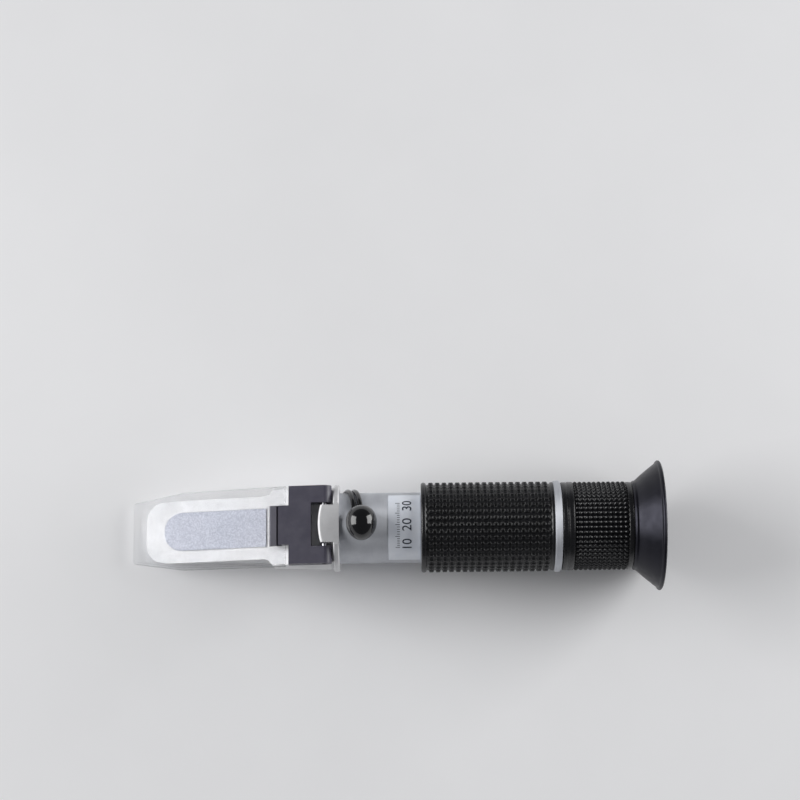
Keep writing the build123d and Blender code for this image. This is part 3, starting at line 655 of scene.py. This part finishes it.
# %% [markdown]
# The sticker gets a generic print, the temperatures that the strip inside compensates
# for, with a scale of ticks. It is text turned into a mesh and cut every 0.4 mm across
# its lines, because a flat letter has long faces that would sink into a round neck. Then
# its width is wrapped: the angle is the distance along the line over the radius.

# %% Print on the sticker
FILM, INK_LIFT, INK_HALF = 0.12, 0.03, 0.02
PRINT_R = NECK_R + FILM + INK_LIFT
PRINT_STATION, PRINT_TURN, PRINT_SIZE = 83.9, np.radians(-3.0), 3.9
PRINT_HALF_WIDTH, CUT_STEP = 9.0, 0.4
TICK_GAP, TICK_WIDTH, TICK_BASE, TICK_LONG, TICK_SHORT = 0.7, 0.16, 3.4, 1.3, 0.8
words = bpy.data.curves.new("temperatures", "FONT")
words.body = "10  20  30"
words.size = PRINT_SIZE
words.align_x = "CENTER"
words.extrude = INK_HALF
sheet = bmesh.new()
sheet.from_mesh(bpy.data.meshes.new_from_object(bpy.data.objects.new("temperatures", words)))
for cut in np.arange(-PRINT_HALF_WIDTH, PRINT_HALF_WIDTH, CUT_STEP):
    everything = sheet.verts[:] + sheet.edges[:] + sheet.faces[:]
    bmesh.ops.bisect_plane(sheet, geom=everything, plane_co=(cut, 0, 0), plane_no=(1, 0, 0))
for number in range(-10, 11):
    tall = TICK_LONG if number % 5 == 0 else TICK_SHORT
    bar = bmesh.ops.create_cube(sheet, size=1.0)["verts"]
    bmesh.ops.scale(sheet, vec=(TICK_WIDTH, tall, 2 * INK_HALF), verts=bar)
    bmesh.ops.translate(sheet, vec=(number * TICK_GAP, TICK_BASE + tall / 2, 0), verts=bar)
print_mesh = bpy.data.meshes.new("sticker_print")
sheet.to_mesh(print_mesh)
sheet.free()
flat = np.empty(len(print_mesh.vertices) * 3)
print_mesh.vertices.foreach_get("co", flat)
flat = flat.reshape(-1, 3)
wrapped = around(PRINT_STATION - flat[:, 1], PRINT_R + flat[:, 2], PRINT_TURN + flat[:, 0] / PRINT_R)
print_mesh.vertices.foreach_set("co", place(wrapped).ravel())
ink, tree, surface = finish_named("dark_blue_ink", Roughness=0.5)
feed(tree, surface, Base_Color=wear(tree, millimetres(tree), 1.5, "#1a2030", "#242b3d"))
finish_piece("sticker_print", print_mesh, ink, "barrel")
print_mesh.polygons.foreach_set("use_smooth", np.zeros(len(print_mesh.polygons), bool))

# %% [markdown]
# The instrument lies on a plain pale floor. The light is soft: two large low panels at
# the left and right, a little beyond the instrument, which give the shiny cap its two
# bright patches. A dim sky fills in. It is kept dim because every black piece mirrors it,
# and a bright sky would turn black rubber grey.

# %% Floor and light
floor_paint, tree, surface = finish_named("pale_floor", Roughness=0.8)
spot = add(tree, "ShaderNodeTexCoord").outputs["Object"]
feed(tree, surface, Base_Color=wear(tree, spot, 0.12, "#f1f1f2", "#f5f5f6"))
HALF_FLOOR = 3.0
floor_mesh = bpy.data.meshes.new("floor")
corners = [(-HALF_FLOOR, -HALF_FLOOR, 0), (HALF_FLOOR, -HALF_FLOOR, 0), (HALF_FLOOR, HALF_FLOOR, 0),
           (-HALF_FLOOR, HALF_FLOOR, 0)]
floor_mesh.from_pydata(corners, [], [(0, 1, 2, 3)])
floor_mesh.materials.append(floor_paint)
floor = bpy.data.objects.new("floor", floor_mesh)
bpy.context.collection.objects.link(floor)

world = bpy.data.worlds.new("studio")
bpy.context.scene.world = world
world.use_nodes = True
sky = world.node_tree.nodes["Background"]
sky.inputs["Color"].default_value = linear("#eef0f6")
sky.inputs["Strength"].default_value = 0.15


def panel(name, place_m, size, glow):
    """A soft rectangular lamp facing the instrument; watts are pi times its area times its glow."""
    lamp = bpy.data.objects.new(name, bpy.data.lights.new(name, "AREA"))
    bpy.context.collection.objects.link(lamp)
    lamp.data.shape = "RECTANGLE"
    lamp.data.size, lamp.data.size_y = size
    lamp.data.energy = np.pi * size[0] * size[1] * glow
    spot = np.array(place_m, float)
    away = spot / np.linalg.norm(spot)
    side = np.cross([0.0, 0.0, 1.0], away)
    side /= np.linalg.norm(side)
    turn = np.eye(4)
    turn[:3, :3] = np.stack([side, np.cross(away, side), away], 1)
    turn[:3, 3] = spot
    lamp.matrix_world = Matrix(turn.tolist())
    print(name, round(lamp.data.energy, 2), "W")


PANEL_SIZE, PANEL_GLOW = (0.8, 0.8), 5.5
panel("left_panel", (-0.93, 0.14, 0.36), PANEL_SIZE, PANEL_GLOW)
panel("right_panel", (0.93, 0.22, 0.35), PANEL_SIZE, PANEL_GLOW)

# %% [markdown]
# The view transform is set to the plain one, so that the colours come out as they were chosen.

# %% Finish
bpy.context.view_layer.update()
scene = bpy.context.scene
scene.view_settings.view_transform = "Standard"
